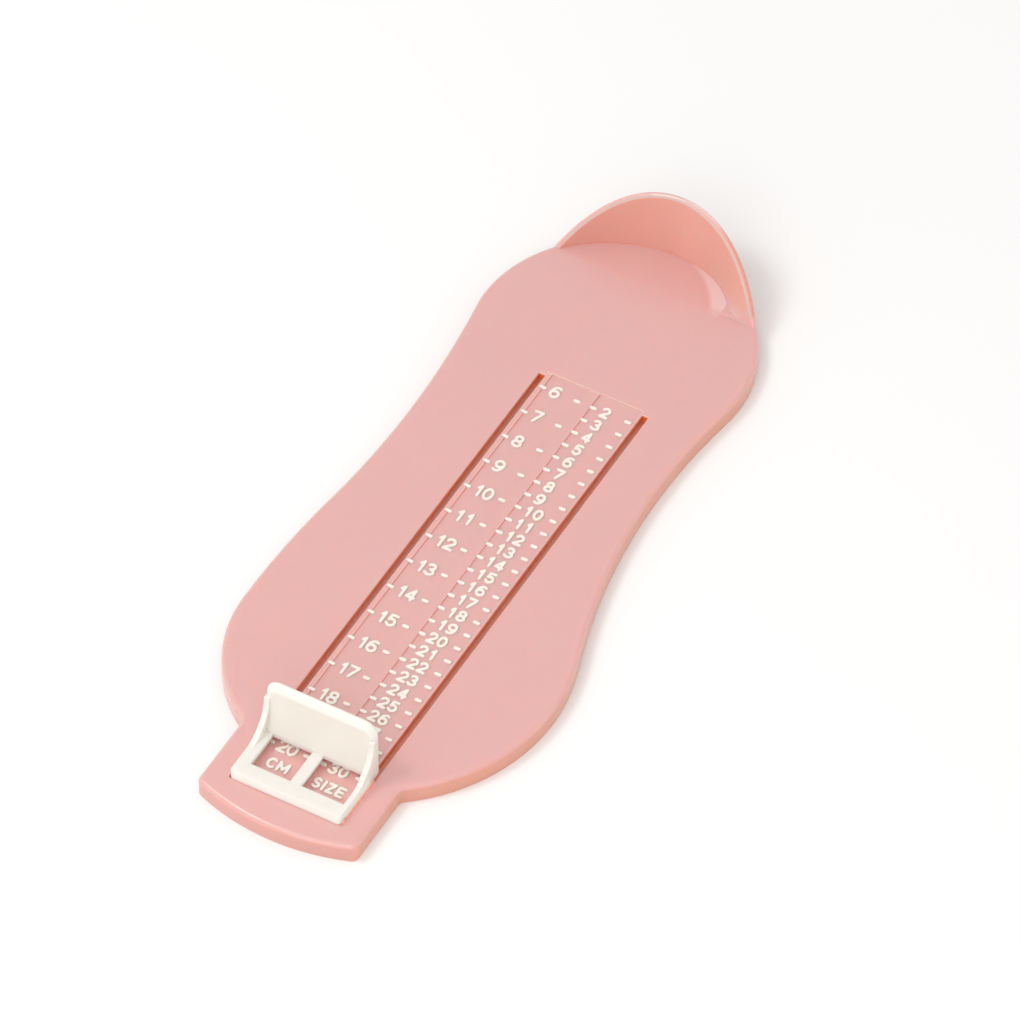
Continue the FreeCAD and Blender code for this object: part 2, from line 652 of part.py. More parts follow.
def make_slider():
    body = doc.addObject("PartDesign::Body", "slider")
    floor = "sizes.board_height + sizes.slider_gap"
    base = size("board_height") + size("slider_gap")
    top = size("board_height")
    half = size("slider_half_width")
    heel, toe = value_of("slider_heel_y"), value_of("slider_toe_y")

    # side view of the toe stop and its foot plate: sketch X is Y, sketch Y is Z
    foot_top = (top + size("foot_thick"), "sizes.board_height + sizes.foot_thick")
    stop_top = (top + size("stop_height"), "sizes.board_height + sizes.stop_height")
    at_foot = (heel[0] - size("stop_thick_foot"), "sizes.slider_heel_y - sizes.stop_thick_foot")
    at_top = (heel[0] - size("stop_thick_top"), "sizes.slider_heel_y - sizes.stop_thick_top")
    bottom = (base, floor)
    profile = new_sketch(body, "stop_profile", "YZ_Plane")
    polygon(profile, [(toe, bottom), (heel, bottom), (heel, stop_top), (at_top, stop_top),
                      (at_foot, foot_top), (toe, foot_top)], hollow=(3, "stop_hollow_radius"))
    pad(body, profile, "2 * sizes.slider_half_width", midplane=True)

    def on_corner(edge):
        box = edge.BoundBox
        return near(abs(box.XMin), half) and near(box.XLength, 0) and flat_at(edge, stop_top[0])

    round_edges(body, "stop_corners", "sizes.stop_corner", on_corner)

    # the long top edges; each rounding runs on over the corners and down the ends
    for name, y, radius in (("stop_rim_toe", at_top[0], "sizes.stop_round_toe"),
                            ("stop_rim_heel", heel[0], "sizes.stop_round_heel")):
        def on_rim(edge):
            box = edge.BoundBox
            return flat_at(edge, stop_top[0]) and box.XLength > half and near(box.YMin, y) \
                and near(box.YMax, y)

        round_edges(body, name, radius, on_rim)

    def on_foot_corner(edge):
        box = edge.BoundBox
        return near(box.YMin, toe[0]) and near(box.YLength, 0) and near(box.XLength, 0)

    round_edges(body, "foot_corners", "sizes.foot_corner", on_foot_corner)

    # a sloping gusset at each end of the stop
    gussets = new_sketch(body, "gussets", "YZ_Plane",
                         "sizes.slider_half_width - sizes.gusset_thick")
    gusset_toe = value_of("gusset_toe_y")
    gusset_top = (top + size("gusset_height"), "sizes.board_height + sizes.gusset_height")
    middle = (heel[0] - size("stop_thick_top") / 2,
              "sizes.slider_heel_y - sizes.stop_thick_top / 2")
    shell = (top + size("foot_thick") - size("foot_shell") / 2,
             "sizes.board_height + sizes.foot_thick - sizes.foot_shell / 2")
    polygon(gussets, [(gusset_toe, shell), (middle, shell), (middle, gusset_top),
                      (at_top, gusset_top), (gusset_toe, foot_top)],
            hollow=(3, "gusset_hollow_radius"))
    right = pad(body, gussets, "sizes.gusset_thick")
    doc.recompute()
    mirrored = body.newObject("PartDesign::Mirrored", "gusset_mirror")
    mirrored.Originals = [right]
    mirrored.MirrorPlane = (plane(body, "YZ_Plane"), [""])
    body.Tip = mirrored

    # reading windows, and the hollow under the foot plate
    windows = new_sketch(body, "windows", "XY_Plane", floor)
    low, high = value_of("window_toe_y"), value_of("window_heel_y")
    for left_word, right_word in (("window_left_x", "window_bar_left_x"),
                                  ("window_bar_right_x", "window_right_x")):
        x0, x1 = value_of(left_word), value_of(right_word)
        polygon(windows, [(x0, low), (x1, low), (x1, high), (x0, high)])
    pocket(body, windows, "sizes.foot_thick + sizes.foot_shell", reverse=True)
    under = new_sketch(body, "under_foot", "XY_Plane", floor)
    inner = (half - size("foot_skirt"), "sizes.slider_half_width - sizes.foot_skirt")
    minus_inner = (-inner[0], "-(%s)" % inner[1])
    toe_in = (toe[0] + size("foot_skirt"), "sizes.slider_toe_y + sizes.foot_skirt")
    polygon(under, [(minus_inner, toe_in), (inner, toe_in), (inner, at_top),
                    (minus_inner, at_top)])
    pocket(body, under, "sizes.foot_thick - sizes.foot_shell - sizes.slider_gap", reverse=True)

    # guide blades through the slots, each with a barb along its foot
    for side in (-1, 1):
        outer = side * half
        inner = outer - side * size("blade_thick")
        hook = inner - side * size("barb_out")
        barb = size("blade_foot_z") + size("barb_out")
        keeper_low = size("board_height") - size("plate_thick") - size("keeper_gap") \
            - size("keeper_thick")
        blade = new_sketch(body, "blade_%s" % ("left" if side < 0 else "right"), "XZ_Plane")
        out_word = "%d * sizes.slider_half_width" % side
        in_word = "%d * (sizes.slider_half_width - sizes.blade_thick)" % side
        hook_word = "%d * (sizes.slider_half_width - sizes.blade_thick - sizes.barb_out)" % side
        low_word = ("sizes.board_height - sizes.plate_thick - sizes.keeper_gap"
                    " - sizes.keeper_thick")
        roof = (base + 0.5, floor + " + 0.5")
        points = [((outer, out_word), value_of("blade_foot_z")), ((outer, out_word), roof),
                  ((inner, in_word), roof), ((inner, in_word), (keeper_low, low_word)),
                  ((hook, hook_word), (keeper_low, low_word)),
                  ((inner, in_word), value_of("blade_foot_z"))]
        polygon(blade, points)
        if barb <= 0:
            raise RuntimeError("the barb has no height")
        # the XZ plane's normal is -Y, so the blade starts at its heel end
        blade.setExpression("AttachmentOffset.Base.z", "-sizes.blade_heel_y")
        pad(body, blade, "sizes.blade_heel_y - sizes.blade_toe_y")
    return body


# ---------------------------------------------------------------- the keeper

def make_keeper():
    body = doc.addObject("PartDesign::Body", "slider_keeper")
    low_word = "sizes.board_height - sizes.plate_thick - sizes.keeper_gap - sizes.keeper_thick"
    sketch = new_sketch(body, "keeper_plate", "XY_Plane", low_word)
    rectangle(sketch, "-keeper_half_width", "keeper_half_width", "keeper_toe_y", "keeper_heel_y")
    pad(body, sketch, "sizes.keeper_thick")
    round_edges(body, "keeper_corners", "sizes.keeper_corner",
                lambda edge: near(edge.BoundBox.XLength, 0) and near(edge.BoundBox.YLength, 0))
    holes = new_sketch(body, "blade_holes", "XY_Plane", low_word)
    fit = size("keeper_fit")
    outer, inner = size("slider_half_width") + fit, \
        size("slider_half_width") - size("blade_thick") - fit
    low = (size("blade_toe_y") - fit, "sizes.blade_toe_y - sizes.keeper_fit")
    high = (size("blade_heel_y") + fit, "sizes.blade_heel_y + sizes.keeper_fit")
    out_word = "(sizes.slider_half_width + sizes.keeper_fit)"
    in_word = "(sizes.slider_half_width - sizes.blade_thick - sizes.keeper_fit)"
    for side in (-1, 1):
        ends = sorted([(side * outer, "%d * %s" % (side, out_word)),
                       (side * inner, "%d * %s" % (side, in_word))])
        polygon(holes, [(ends[0], low), (ends[1], low), (ends[1], high), (ends[0], high)])
    pocket(body, holes, "sizes.keeper_thick", reverse=True)
    return body


# ---------------------------------------------------------------- build, check and write

pieces = [make_board(), make_slider(), make_keeper()]
for piece in pieces:
    piece.Placement = Placement(Vector(size("shift_x"), size("shift_y"), 0), Rotation())
    piece.setExpression("Placement.Base.x", "sizes.shift_x")
    piece.setExpression("Placement.Base.y", "sizes.shift_y")
doc.recompute()

for item in doc.Objects:
    if "Invalid" in item.State or "Error" in item.State:
        raise RuntimeError("%s failed: %s" % (item.Label, item.State))
for piece in pieces:
    shape = piece.Shape
    if shape.isNull() or not shape.isValid() or len(shape.Solids) != 1:
        raise RuntimeError("%s is not one valid solid" % piece.Label)

os.makedirs("parts", exist_ok=True)
for piece in pieces:
    piece.Shape.exportStep("parts/%s.step" % piece.Label)
    box = piece.Shape.BoundBox
    print("%-14s volume %9.1f mm3  X %.2f %.2f  Y %.2f %.2f  Z %.2f %.2f" % (
        piece.Label, piece.Shape.Volume, box.XMin, box.XMax, box.YMin, box.YMax,
        box.ZMin, box.ZMax))
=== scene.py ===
import functools
import math

import bmesh
import bpy
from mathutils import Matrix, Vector


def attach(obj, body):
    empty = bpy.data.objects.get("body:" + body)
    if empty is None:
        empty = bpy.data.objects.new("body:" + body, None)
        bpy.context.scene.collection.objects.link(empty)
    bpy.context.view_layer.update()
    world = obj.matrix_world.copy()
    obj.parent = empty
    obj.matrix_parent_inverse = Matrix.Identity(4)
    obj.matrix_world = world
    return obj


MM = 0.001

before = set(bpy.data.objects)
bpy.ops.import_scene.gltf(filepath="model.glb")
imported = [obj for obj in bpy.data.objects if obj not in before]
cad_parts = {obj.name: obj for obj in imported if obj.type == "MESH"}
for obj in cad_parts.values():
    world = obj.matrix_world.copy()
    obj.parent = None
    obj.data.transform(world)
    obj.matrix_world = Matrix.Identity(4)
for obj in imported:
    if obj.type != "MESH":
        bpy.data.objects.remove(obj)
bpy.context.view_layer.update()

# The scale's own frame: X from the middle between the slots, Y from the scale's zero at the
# heel wall (a foot of length L ends at Y = -L), Z from the board's top.
SHIFT_X, SHIFT_Y, TOP_Z = 0.2, 111.4, 5.5


def at(x, y, z=0.0):
    """A point given in the scale's frame in mm, as a point of the row frame in metres."""
    return Vector(((x + SHIFT_X) * MM, (y + SHIFT_Y) * MM, (z + TOP_Z) * MM))


# ---------------------------------------------------------------- camera

AZIMUTH, ELEVATION = math.radians(29.51), math.radians(48.18)
DISTANCE = 2.1452
TARGET = Vector((0.00108, 0.0093, 0.0055))
FOCAL_PX, IMAGE_PX = 8265.6, 1020
SENSOR_MM = 36.0
SIGHT = 50.0             # how far the camera sees, in metres

cam_data = bpy.data.cameras.new("camera")
cam_data.sensor_width = SENSOR_MM
cam_data.lens = FOCAL_PX / IMAGE_PX * SENSOR_MM
cam_data.clip_end = SIGHT
camera = bpy.data.objects.new("camera", cam_data)
bpy.context.scene.collection.objects.link(camera)
back = Vector((math.sin(AZIMUTH) * math.cos(ELEVATION),
               -math.cos(AZIMUTH) * math.cos(ELEVATION), math.sin(ELEVATION)))
camera.location = TARGET + back * DISTANCE
camera.rotation_euler = (-back).to_track_quat("-Z", "Y").to_euler()
bpy.context.scene.camera = camera


# ---------------------------------------------------------------- node trees

class Nodes:
    """A small helper to write node trees in one line a node."""

    def __init__(self, name):
        self.material = bpy.data.materials.new(name)
        self.material.use_nodes = True
        self.tree = self.material.node_tree
        self.tree.nodes.clear()

    def add(self, kind, settings=(), **inputs):
        node = self.tree.nodes.new(kind)
        for key, value in dict(settings).items():
            setattr(node, key, value)
        for key, value in inputs.items():
            self.put(node.inputs[key.replace("_", " ")], value)
        return node

    def math(self, operation, first, second=0.0):
        node = self.add("ShaderNodeMath", {"operation": operation})
        for socket, value in zip(node.inputs, (first, second)):
            self.put(socket, value)
        return node.outputs[0]

    def product(self, *factors):
        return functools.reduce(lambda a, b: self.math("MULTIPLY", a, b), factors)

    def apart(self, value, other):
        """How far the value is from the other one."""
        return self.math("ABSOLUTE", self.math("SUBTRACT", value, other))

    def mix(self, factor, first, second):
        """A colour between first and second."""
        node = self.add("ShaderNodeMix", {"data_type": "RGBA"})
        for socket, value in zip((node.inputs[0], node.inputs[6], node.inputs[7]),
                                 (factor, first, second)):
            self.put(socket, value)
        return node.outputs[2]

    def ramp(self, value, low, high, to_low=0.0, to_high=1.0):
        """The value's run from low to high, carried onto to_low to to_high."""
        node = self.add("ShaderNodeMapRange", Value=value, From_Min=low, From_Max=high,
                        To_Min=to_low, To_Max=to_high)
        return node.outputs["Result"]

    def ramp_mm(self, place, low, high):
        """0 to 1 as the place runs from low to high, both in mm."""
        return self.ramp(place, low * MM, high * MM)

    def put(self, socket, value):
        if hasattr(value, "is_output"):
            self.tree.links.new(value, socket)
        else:
            socket.default_value = value


class Face:
    """What a material knows of the face it lies on: its place, and the way it looks."""

    def __init__(self, n):
        self.coords = n.add("ShaderNodeTexCoord").outputs["Object"]
        normal = n.add("ShaderNodeNewGeometry").outputs["Normal"]
        looks = n.add("ShaderNodeSeparateXYZ", Vector=normal).outputs
        self.right, self.back, self.up = looks["X"], looks["Y"], looks["Z"]
        place = n.add("ShaderNodeSeparateXYZ", Vector=self.coords).outputs
        self.x, self.y, self.z = place["X"], place["Y"], place["Z"]


def rgb(r, g, b):
    return (r, g, b, 1.0)


# ---------------------------------------------------------------- the board's tones, with painted light and shade

# The board's plastic has two close tones of its own; the others below are painted light and
# shade, a lighter or darker tone for each kind of face as light would fall on it.
PINK = rgb(0.726, 0.419, 0.400), rgb(0.746, 0.437, 0.418)    # its two close tones
PAINTED_EDGE_HIGHLIGHT = rgb(0.680, 0.437, 0.405)       # painted highlight on rounded edges that face left, toward the lamps
PAINTED_WALL_SHADE = rgb(0.740, 0.402, 0.330)      # painted shade on steep faces and walls, as the heel wall's inner face
PAINTED_SIDE_SHADE = rgb(0.680, 0.348, 0.310)        # painted shade on the board's sides
PAINTED_RIGHT_SIDE_SHADE = rgb(0.730, 0.345, 0.250)        # deeper painted shade on those that look right, away from the lamps
PAINTED_LIP_HIGHLIGHT = rgb(0.620, 0.488, 0.455)          # painted highlight on the heel wall's rim
PAINTED_OUTER_LIP_SHADE = rgb(0.660, 0.330, 0.275)    # painted shade on that rim's right side
PAINTED_COVE_HIGHLIGHT = rgb(0.840, 0.585, 0.575)         # painted highlight on the seat's edge at the wall's right
PAINTED_RIM_HIGHLIGHT = rgb(0.770, 0.510, 0.470)       # painted highlight on the slots' rims and the scale's heel end
PAINTED_CREVICE_SHADE = rgb(0.90, 0.38, 0.30)         # painted shade in closed corners
# painted shade: the slots' walls below the board's top are a deep red-orange
PAINTED_SLOT_SHADE = rgb(0.76, 0.215, 0.062)

# A painted glow, emitted, standing in for light that comes through the board's plate to what is
# below it.
PAINTED_GLOW_UNDER_BOARD = rgb(0.23, 0.046, 0.008)
PAINTED_GLOW_ON_SLIDER = rgb(0.33, 0.15, 0.12)
# A painted glow, emitted, standing in for light that scatters out of the sides of the slider's
# own plate.
PAINTED_GLOW_OF_SLIDER = rgb(0.10, 0.18, 0.17)

# In the scale's frame, in mm: the slots' middle lines and half length, the scale's heel end.
SLOT_X, SLOT_MID, SLOT_HALF = 15.5, -135.7, 79.7
SCALE_HEEL = -54.8

# In the row frame, in mm.
SEAT_X, SEAT_Y = -13.8, 85.4            # the middle of the seat's disc
SEAT_REACH = 27.9, 29.4                 # its cove lies that far from there
CUP_Y = 94.0, 92.0                      # in front of the heel cup
STEP_Y = 95.5, 96.5                     # behind the low step where the wall starts
WALL_Z = 5.6, 6.2                       # above the board's top
RIM_Z = 7.0, 8.0                        # above the wall's low ends
STEP_Z = 7.4, 6.4                       # below them


def board_tone(n, face, tone):
    """The board's tone with painted light and shade: each ramp runs from where a tone starts to
    where it is full.
    """
    across = n.apart(face.x, SHIFT_X * MM)
    from_slot = n.apart(across, SLOT_X * MM)
    along_slot = n.apart(face.y, (SHIFT_Y + SLOT_MID) * MM)

    # painted highlight on the board's rounded edges where they turn left, toward the lamps, in
    # front of the heel cup
    lit_edge_mask = n.product(n.ramp(face.up, 0.9975, 0.970), n.ramp(face.up, 0.60, 0.72),
                       n.ramp_mm(face.y, *CUP_Y), n.ramp(face.right, 0.30, 0.05))
    # near the slots the painted edge highlight takes the brighter rim highlight
    at_slot = n.product(n.ramp_mm(from_slot, 2.6, 2.2),
                        n.ramp_mm(along_slot, SLOT_HALF + 2.0, SLOT_HALF + 1.6))
    tone = n.mix(lit_edge_mask, tone, n.mix(at_slot, PAINTED_EDGE_HIGHLIGHT, PAINTED_RIM_HIGHLIGHT))

    # painted shade: steep faces, and the heel wall's faces above the board, get a darker,
    # redder tone
    tone = n.mix(n.ramp(face.up, 0.55, 0.15), tone, PAINTED_WALL_SHADE)
    wall = n.product(n.ramp_mm(face.z, *WALL_Z), n.ramp(face.up, 0.80, 0.55))
    tone = n.mix(wall, tone, PAINTED_WALL_SHADE)

    # painted shade on the board's sides below its top, deeper on those that look right
    side = n.product(n.ramp(face.back, 0.45, 0.15),
                     n.ramp_mm(face.z, TOP_Z - 0.5, TOP_Z - 1.4), n.ramp(face.up, 0.75, 0.3))
    tone = n.mix(side, tone, n.mix(n.ramp(face.right, 0.3, 0.8), PAINTED_SIDE_SHADE, PAINTED_RIGHT_SIDE_SHADE))

    # painted highlight on the heel wall's rim, and painted shade on its right side
    rim = n.product(n.ramp_mm(face.z, *RIM_Z), n.ramp(face.up, 0.50, 0.56),
                    n.ramp(face.right, -0.25, -0.12))
    tone = n.mix(rim, tone, n.mix(n.ramp(face.right, 0.05, 0.25), PAINTED_LIP_HIGHLIGHT, PAINTED_OUTER_LIP_SHADE))
    step = n.product(n.ramp_mm(face.z, *STEP_Z), n.ramp_mm(face.y, *STEP_Y),
                     n.ramp(face.up, 0.30, 0.48), n.ramp(face.up, 0.85, 0.70))
    tone = n.mix(step, tone, PINK[0])

    # a painted highlight: a lighter crescent at the right of the seat, where the cove turns
    # toward the lamps
    dx = n.math("SUBTRACT", face.x, SEAT_X * MM)
    dy = n.math("SUBTRACT", face.y, SEAT_Y * MM)
    reach = n.math("SQRT", n.math("ADD", n.product(dx, dx), n.product(dy, dy)))
    crescent = n.product(n.ramp_mm(reach, *SEAT_REACH), n.ramp(face.up, 0.85, 0.92),
                         n.ramp_mm(face.x, 15.8, 14.8), n.ramp_mm(face.x, -8.0, 0.0),
                         n.ramp_mm(face.y, 95.5, 99.5))
    tone = n.mix(crescent, tone, PAINTED_COVE_HIGHLIGHT)

    # painted shade: corners and recesses, found by ambient occlusion, get a darker, redder tone
    closed = n.add("ShaderNodeAmbientOcclusion", {"samples": 8}, Distance=2.0 * MM)
    tone = n.mix(n.ramp(closed.outputs["AO"], 0.62, 0.36), tone, PAINTED_CREVICE_SHADE)

    # painted highlight along the scale recess's heel edge
    scale_end = n.product(
        n.ramp_mm(n.apart(face.y, (SHIFT_Y + SCALE_HEEL) * MM), 0.45, 0.30),
        n.ramp_mm(across, 14.6, 14.4), n.ramp_mm(face.z, 4.6, 4.9))
    tone = n.mix(scale_end, tone, PAINTED_RIM_HIGHLIGHT)

    # painted shade inside the slots
    in_slot = n.product(n.ramp_mm(from_slot, 1.3, 1.1),
                        n.ramp_mm(along_slot, SLOT_HALF + 0.6, SLOT_HALF + 0.4),
                        n.ramp_mm(face.z, TOP_Z - 0.15, TOP_Z - 0.45))
    return n.mix(in_slot, tone, PAINTED_SLOT_SHADE)


def board_glow(n, face):
    """A painted glow, emitted where the board looks down."""
    return PAINTED_GLOW_UNDER_BOARD, n.ramp(face.up, -0.3, -0.7)


def slider_glow(n, face):
    """A painted glow on the slider below the board's top, and on the sides of its plate above
    it.
    """
    sunk = n.ramp_mm(face.z, TOP_Z + 0.1, TOP_Z - 0.2)
    side = n.product(n.ramp_mm(face.z, 10.0, 6.5), n.ramp_mm(face.y, -88.8, -89.4),
                     n.ramp(face.up, 0.6, 0.3))
    return n.mix(sunk, PAINTED_GLOW_OF_SLIDER, PAINTED_GLOW_ON_SLIDER), n.math("MAXIMUM", sunk, side)


# ---------------------------------------------------------------- materials

CLOUD_SCALE, SWIRL_SCALE = 28.0, 120.0    # of the tone's and the gloss's slow changes
PLASTIC_IOR = 1.49
COAT_ROUGHNESS = 0.18


def moulded(name, tones, rough, grain, grain_depth, sub, sub_depth, sub_tint, coat=0.0,
            tone_of=None, glow_of=None):
    """Moulded plastic: two close tones in wide clouds, a fine mould grain and uneven gloss.

    The grain's size is in mm, and its depth and the subsurface's in metres. Where given,
    tone_of and glow_of work out from the face the tone, with its painted light and shade, and a
    painted glow.
    """
    n = Nodes(name)
    face = Face(n)
    clouds = n.add("ShaderNodeTexNoise", Vector=face.coords, Scale=CLOUD_SCALE, Detail=3.0,
                   Roughness=0.55)
    tone = n.mix(clouds.outputs["Fac"], *tones)
    if tone_of:
        tone = tone_of(n, face, tone)
    fine = n.add("ShaderNodeTexNoise", Vector=face.coords, Scale=1.0 / (grain * MM), Detail=3.0,
                 Roughness=0.6)
    swirl = n.add("ShaderNodeTexNoise", Vector=face.coords, Scale=SWIRL_SCALE, Detail=2.0)
    gloss = n.ramp(swirl.outputs["Fac"], 0.3, 0.7, rough - 0.03, rough + 0.05)
    bump = n.add("ShaderNodeBump", Strength=0.5, Distance=grain_depth,
                 Height=fine.outputs["Fac"])
    shader = n.add("ShaderNodeBsdfPrincipled", Base_Color=tone, Roughness=gloss,
                   Normal=bump.outputs["Normal"], IOR=PLASTIC_IOR, Subsurface_Weight=sub,
                   Subsurface_Radius=sub_tint, Subsurface_Scale=sub_depth,
                   Coat_Weight=coat, Coat_Roughness=COAT_ROUGHNESS)
    if glow_of:
        color, strength = glow_of(n, face)
        n.put(shader.inputs["Emission Color"], color)
        n.put(shader.inputs["Emission Strength"], strength)
    n.add("ShaderNodeOutputMaterial", Surface=shader.outputs["BSDF"])
    return n.material


pink = moulded("pink_plastic", PINK, 0.22, grain=0.35, grain_depth=6e-6, sub=0.8,
               sub_depth=0.0030, sub_tint=(1.0, 0.34, 0.22), coat=0.45, tone_of=board_tone,
               glow_of=board_glow)
ivory = moulded("ivory_plastic", (rgb(0.800, 0.772, 0.715), rgb(0.820, 0.794, 0.737)), 0.32,
                grain=0.35, grain_depth=6e-6, sub=0.8, sub_depth=0.0025,
                sub_tint=(1.0, 0.94, 0.86), glow_of=slider_glow)
print_white = moulded("raised_white", (rgb(0.86, 0.80, 0.73), rgb(0.89, 0.83, 0.76)), 0.45,
                      grain=0.12, grain_depth=4e-6, sub=0.5, sub_depth=0.0006,
                      sub_tint=(1.0, 0.55, 0.45))


def dress(node, material):
    """Give a carried-over node its material in every slot."""
    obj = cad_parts[node]
    obj.data.materials.clear()
    obj.data.materials.append(material)


dress("board", pink)
dress("slider", ivory)
dress("slider_keeper", ivory)


# ---------------------------------------------------------------- raised numbers and ticks

# All in mm, in the scale's frame.
RELIEF_FLOOR = -0.50     # a little below the scale recess's floor
RELIEF_TOP = 0.05        # the raised faces stand a hair proud of the board
STROKE = 0.76            # the width of a numeral's stroke
BEVEL = 0.10             # the round of a numeral's upper edge
CELL = 0.14              # the grid on which the numerals' outlines are found
BEND = 0.008             # an outline keeps a point that turns by more than this area
LONGEST = 0.9            # and one that is farther than this from the last
CM_TICKS = (-13.05, -2.70)
SIZE_TICKS = (2.15, 12.50)
TICK_LENGTH, TICK_WIDTH = 2.1, 0.95
TICK_STEPS = 6           # the straight parts of a tick's round end
# a tick's layers from the floor to the top: how far each is set in, and its height
TICK_LAYERS = ((0.0, RELIEF_FLOOR), (0.0, RELIEF_TOP - 0.1), (0.06, RELIEF_TOP - 0.02),
               (0.14, RELIEF_TOP))


def arc(x, y, rx, ry, start, end):
    """Points of an elliptic arc, in a glyph's unit box."""
    steps = max(4, round(abs(end - start) / 12))
    turns = [math.radians(start + (end - start) * i / steps) for i in range(steps + 1)]
    return [(x + rx * math.cos(t), y + ry * math.sin(t)) for t in turns]


SIX = [arc(0.5, 0.31, 0.5, 0.31, 0, 360),
       arc(0.66, 0.40, 0.66, 0.60, 62, 188)]
GLYPHS = {
    "0": [arc(0.5, 0.5, 0.5, 0.5, 0, 360)],
    "1": [[(0.0, 0.74), (0.85, 1.0), (0.85, 0.0)]],
    "2": [arc(0.5, 0.71, 0.47, 0.29, 168, -32) + [(0.0, 0.0), (1.0, 0.0)]],
    "3": [arc(0.47, 0.755, 0.43, 0.245, 152, -90),
          arc(0.47, 0.255, 0.53, 0.255, 90, -152)],
    "4": [[(0.74, 0.0), (0.74, 1.0), (0.0, 0.27), (1.0, 0.27)]],
    "5": [[(0.92, 1.0), (0.20, 1.0), (0.10, 0.52)] + arc(0.47, 0.32, 0.5, 0.32, 128, -150)],
    "6": SIX,
    "7": [[(0.0, 1.0), (1.0, 1.0), (0.34, 0.0)]],
    "8": [arc(0.5, 0.76, 0.42, 0.24, 0, 360), arc(0.5, 0.26, 0.5, 0.26, 0, 360)],
    "9": [[(1 - u, 1 - v) for u, v in path] for path in SIX],
    "C": [arc(0.55, 0.5, 0.55, 0.5, 48, 312)],
    "M": [[(0.0, 0.0), (0.0, 1.0), (0.5, 0.25), (1.0, 1.0), (1.0, 0.0)]],
    "S": [arc(0.5, 0.745, 0.46, 0.255, 30, 270)[:-1] + arc(0.5, 0.245, 0.5, 0.245, 90, -150)],
    "I": [[(0.5, 0.0), (0.5, 1.0)]],
    "Z": [[(0.0, 1.0), (1.0, 1.0), (0.0, 0.0), (1.0, 0.0)]],
    "E": [[(1.0, 1.0), (0.0, 1.0), (0.0, 0.0), (1.0, 0.0)], [(0.0, 0.52), (0.85, 0.52)]],
}


def from_stroke(px, py, segments):
    """The distance from a point to the nearest of the segments."""
    best = math.inf
    for ax, ay, dx, dy, square in segments:
        t = ((px - ax) * dx + (py - ay) * dy) / square if square else 0.0
        t = min(1.0, max(0.0, t))
        best = min(best, (px - ax - t * dx) ** 2 + (py - ay - t * dy) ** 2)
    return math.sqrt(best)


def contours(segments, width, height, level):
    """Closed outlines at a distance from the segments, by marching squares."""
    margin = level + 2 * CELL
    nx = int((width + 2 * margin) / CELL) + 2
    ny = int((height + 2 * margin) / CELL) + 2
    x0, y0 = -width / 2 - margin, -height / 2 - margin
    field = [[from_stroke(x0 + i * CELL, y0 + j * CELL, segments) - level
              for i in range(nx)] for j in range(ny)]
    links = {}

    def crossing(a, b):
        """The place where the outline cuts the edge between two grid points, and its key."""
        (ia, ja), (ib, jb) = min(a, b), max(a, b)
        fa, fb = field[ja][ia], field[jb][ib]
        t = fa / (fa - fb)
        return (ia, ja, ib, jb), (x0 + (ia + t * (ib - ia)) * CELL,
                                  y0 + (ja + t * (jb - ja)) * CELL)

    places = {}
    for j in range(ny - 1):
        for i in range(nx - 1):
            # two triangles a cell leave no ambiguous case
            for tri in (((i, j), (i + 1, j), (i + 1, j + 1)),
                        ((i, j), (i + 1, j + 1), (i, j + 1))):
                cut = []
                for a, b in zip(tri, tri[1:] + tri[:1]):
                    if (field[a[1]][a[0]] < 0) != (field[b[1]][b[0]] < 0):
                        key, place = crossing(a, b)
                        places[key] = place
                        cut.append(key)
                if cut:
                    links.setdefault(cut[0], []).append(cut[1])
                    links.setdefault(cut[1], []).append(cut[0])
    loops = []
    while links:
        start = next(iter(links))
        loop, here = [start], links[start][0]
        links.pop(start)
        while here != start:
            loop.append(here)
            ends = links.pop(here)
            here = ends[0] if ends[0] in links or (ends[0] == start and len(loop) > 2) \
                else ends[1]
        loops.append(smooth([places[key] for key in loop]))
    return loops


def smooth(loop):
    """A closed outline without the grid's small steps and without needless points."""
    for _ in range(2):
        count = len(loop)
        loop = [tuple((loop[k - 1][d] + 2 * loop[k][d] + loop[(k + 1) % count][d]) / 4
                      for d in (0, 1)) for k in range(count)]
    kept = [loop[0]]
    for k in range(1, len(loop) - 1):
        (ax, ay), (bx, by), (cx, cy) = kept[-1], loop[k], loop[k + 1]
        turn = abs((bx - ax) * (cy - by) - (by - ay) * (cx - bx))
        if turn > BEND or math.hypot(bx - ax, by - ay) > LONGEST:
            kept.append(loop[k])
    return kept


@functools.lru_cache(maxsize=None)
def glyph_mesh(char, width, height):
    """A raised character centred on the origin, in mm: its corners and faces."""
    run_x, run_y = width - STROKE, height - STROKE
    segments = []
    for path in GLYPHS[char]:
        points = [((u - 0.5) * run_x, (v - 0.5) * run_y) for u, v in path]
        for (ax, ay), (bx, by) in zip(points, points[1:]):
            dx, dy = bx - ax, by - ay
            segments.append((ax, ay, dx, dy, dx * dx + dy * dy))
    curve = bpy.data.curves.new("glyph", "CURVE")
    curve.dimensions = "2D"
    curve.fill_mode = "BOTH"
    curve.extrude = (RELIEF_TOP - RELIEF_FLOOR) / 2 - BEVEL
    curve.bevel_depth = BEVEL
    curve.offset = -BEVEL
    curve.bevel_resolution = 1
    for loop in contours(segments, run_x, run_y, STROKE / 2):
        spline = curve.splines.new("POLY")
        spline.points.add(len(loop) - 1)
        for point, (x, y) in zip(spline.points, loop):
            point.co = (x, y, 0.0, 1.0)
        spline.use_cyclic_u = True
    holder = bpy.data.objects.new("glyph", curve)
    bpy.context.scene.collection.objects.link(holder)
    bpy.context.view_layer.update()
    mesh = bpy.data.meshes.new_from_object(holder.evaluated_get(
        bpy.context.evaluated_depsgraph_get()))
    bpy.data.objects.remove(holder)
    bpy.data.curves.remove(curve)
    corners = tuple(tuple(v.co) for v in mesh.vertices)
    faces = tuple(tuple(face.vertices) for face in mesh.polygons)
    bpy.data.meshes.remove(mesh)
    return corners, faces


